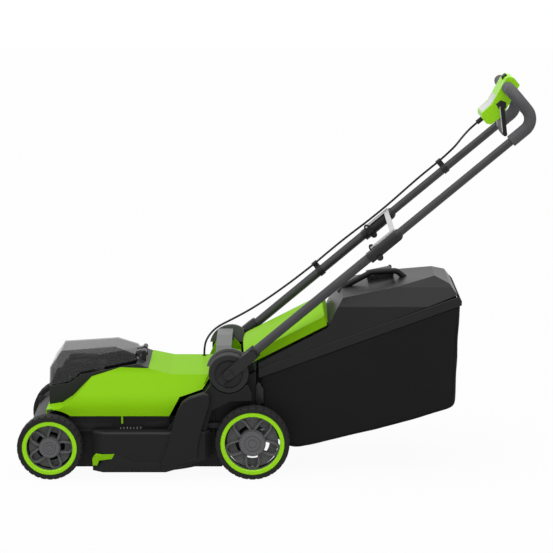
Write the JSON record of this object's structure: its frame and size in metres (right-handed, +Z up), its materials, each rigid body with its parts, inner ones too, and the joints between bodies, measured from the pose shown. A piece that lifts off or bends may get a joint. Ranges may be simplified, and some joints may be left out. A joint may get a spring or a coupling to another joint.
{
  "type": "push lawn mower",
  "caption": "Cordless push lawn mower with a cranked height adjustment, a folding telescopic handle, a twin battery bay and a fabric grass box.",
  "frame": {"origin": "middle of the overall box, on the ground", "axes": "+X towards the handle and the grass box, +Y to the right-hand side of the mower, +Z up"},
  "size_m": [1.4015, 0.45, 1.0912],
  "materials": {
    "green_plastic": "bright green moulded plastic, satin gloss",
    "black_plastic": "black moulded plastic with a fine texture",
    "grey_plastic": "dark grey moulded plastic",
    "strap_grey": "mid grey moulded plastic",
    "smoked_lid": "smoked clear polycarbonate",
    "tube_paint": "dark grey powder coat on steel tube",
    "steel": "bright steel",
    "dark_steel": "black coated steel",
    "tyre_rubber": "black moulded tread",
    "foam": "dark grey closed-cell foam",
    "bag_fabric": "black woven polyester",
    "cable_jacket": "black cable jacket",
    "pack_plastic": "black battery case",
    "red_key": "red plastic key"
  },
  "bodies": {
    "deck": {"deck": "black_plastic", "hood": "green_plastic", "battery_bay": "black_plastic", "blade_chamber": "black_plastic", "battery_left": "pack_plastic", "battery_right": "pack_plastic", "safety_key": "red_key", "controller_box": "black_plastic", "motor_housing": "dark_steel", "grass_combs": "green_plastic", "pivot_housings": "black_plastic", "carry_beam": "strap_grey", "flap_hinge_rod": "steel", "cable_lower": "cable_jacket"},
    "blade_rotor": {"motor_shaft": "steel", "blade_adapter": "black_plastic", "blade": "dark_steel", "blade_bolt": "dark_steel"},
    "front_crank": {"front_axle": "dark_steel"},
    "rear_crank": {"rear_axle": "dark_steel"},
    "rod_left": {"height_rod_left": "black_plastic"},
    "rod_right": {"height_rod_right": "black_plastic", "height_grip": "black_plastic"},
    "handle_lower": {"handle_feet": "black_plastic", "pivot_bolts": "black_plastic", "lower_tube_left": "tube_paint", "lower_tube_right": "tube_paint", "clamp_sleeves": "black_plastic", "clamp_bolts": "steel", "cable_clip_lower": "black_plastic", "cable_middle": "cable_jacket"},
    "lock_bail": {"lock_bail": "steel"},
    "handle_upper": {"upper_bar": "tube_paint", "foam_grip": "foam", "control_top": "green_plastic", "control_base": "green_plastic", "lever_pin": "steel", "cable_clip_upper": "black_plastic", "cable_upper": "cable_jacket"},
    "start_lever": {"start_lever": "black_plastic"},
    "start_button": {"start_button": "black_plastic"},
    "battery_lid": {"battery_lid": "smoked_lid"},
    "rear_flap": {"rear_flap": "green_plastic"},
    "grass_box": {"grass_lid": "black_plastic", "grass_rim": "black_plastic", "grass_bag": "bag_fabric", "grass_handle": "black_plastic"},
    "fill_flap": {"fill_flap": "black_plastic"},
    "front_left_wheel": {"front_left_tyre": "tyre_rubber", "front_left_hub": "grey_plastic", "front_left_ring": "green_plastic"},
    "front_right_wheel": {"front_right_tyre": "tyre_rubber", "front_right_hub": "grey_plastic", "front_right_ring": "green_plastic"},
    "rear_left_wheel": {"rear_left_tyre": "tyre_rubber", "rear_left_hub": "grey_plastic", "rear_left_ring": "green_plastic"},
    "rear_right_wheel": {"rear_right_tyre": "tyre_rubber", "rear_right_hub": "grey_plastic", "rear_right_ring": "green_plastic"}
  },
  "joints": [
    {"name": "blade_spin", "type": "hinge", "parent": "deck", "child": "blade_rotor", "pos_m": [-0.35776, 0, 0.046], "axis": [0, 0, 1], "continuous": true},
    {"name": "height_front", "type": "hinge", "parent": "deck", "child": "front_crank", "pos_m": [-0.64277, 0, 0.0672], "axis": [0, 1, 0], "range_deg": [-8, 67]},
    {"name": "height_rear", "type": "hinge", "parent": "deck", "child": "rear_crank", "pos_m": [-0.08876, 0, 0.0797], "axis": [0, 1, 0], "range_deg": [-8, 67]},
    {"name": "rod_left_swing", "type": "hinge", "parent": "front_crank", "child": "rod_left", "pos_m": [-0.67235, -0.174, 0.13064], "axis": [0, 1, 0], "range_deg": [-67, 8]},
    {"name": "rod_right_swing", "type": "hinge", "parent": "front_crank", "child": "rod_right", "pos_m": [-0.67235, 0.174, 0.13064], "axis": [0, 1, 0], "range_deg": [-67, 8]},
    {"name": "front_left_spin", "type": "hinge", "parent": "front_crank", "child": "front_left_wheel", "pos_m": [-0.61177, -0.2005, 0.089], "axis": [0, 1, 0], "continuous": true},
    {"name": "front_right_spin", "type": "hinge", "parent": "front_crank", "child": "front_right_wheel", "pos_m": [-0.61177, 0.2005, 0.089], "axis": [0, 1, 0], "continuous": true},
    {"name": "rear_left_spin", "type": "hinge", "parent": "rear_crank", "child": "rear_left_wheel", "pos_m": [-0.05776, -0.2005, 0.1015], "axis": [0, 1, 0], "continuous": true},
    {"name": "rear_right_spin", "type": "hinge", "parent": "rear_crank", "child": "rear_right_wheel", "pos_m": [-0.05776, 0.2005, 0.1015], "axis": [0, 1, 0], "continuous": true},
    {"name": "handle_fold", "type": "hinge", "parent": "deck", "child": "handle_lower", "pos_m": [-0.12216, 0, 0.2923], "axis": [0, 1, 0], "range_deg": [-125, 0], "deforming": ["cable_lower"]},
    {"name": "handle_slide", "type": "slide", "parent": "handle_lower", "child": "handle_upper", "axis": [0.766, 0, 0.6428], "range_m": [-0.17, 0], "deforming": ["cable_middle"]},
    {"name": "bail_swing", "type": "hinge", "parent": "handle_lower", "child": "lock_bail", "pos_m": [0.26436, 0, 0.63752], "axis": [0, -1, 0], "range_deg": [0, 75]},
    {"name": "lever_pull", "type": "hinge", "parent": "handle_upper", "child": "start_lever", "pos_m": [0.62187, 0, 1.00799], "axis": [0, -1, 0], "range_deg": [0, 50], "stiffness_Nm_per_rad": 0.4, "springref_deg": -17.19},
    {"name": "button_press", "type": "slide", "parent": "handle_upper", "child": "start_button", "axis": [0.6428, 0, -0.766], "range_m": [0, 0.004], "stiffness_N_per_m": 400, "springref_m": -0.001},
    {"name": "lid_open", "type": "hinge", "parent": "deck", "child": "battery_lid", "pos_m": [-0.36177, 0, 0.316], "axis": [0, 1, 0], "range_deg": [0, 70]},
    {"name": "flap_open", "type": "hinge", "parent": "deck", "child": "rear_flap", "pos_m": [-0.06582, 0, 0.32395], "axis": [0, -1, 0], "range_deg": [0, 55], "stiffness_Nm_per_rad": 0.6, "springref_deg": -17.19},
    {"name": "box_out", "type": "slide", "parent": "deck", "child": "grass_box", "axis": [1, 0, 0], "range_m": [0, 0.3]},
    {"name": "fill_show", "type": "hinge", "parent": "grass_box", "child": "fill_flap", "pos_m": [0.33024, 0.062, 0.531], "axis": [0, 1, 0], "range_deg": [0, 25]}
  ],
  "couplings": [
    {"joint": "height_rear", "follows": "height_front", "ratio": 1},
    {"joint": "rod_left_swing", "follows": "height_front", "ratio": -1},
    {"joint": "rod_right_swing", "follows": "height_front", "ratio": -1}
  ]
}
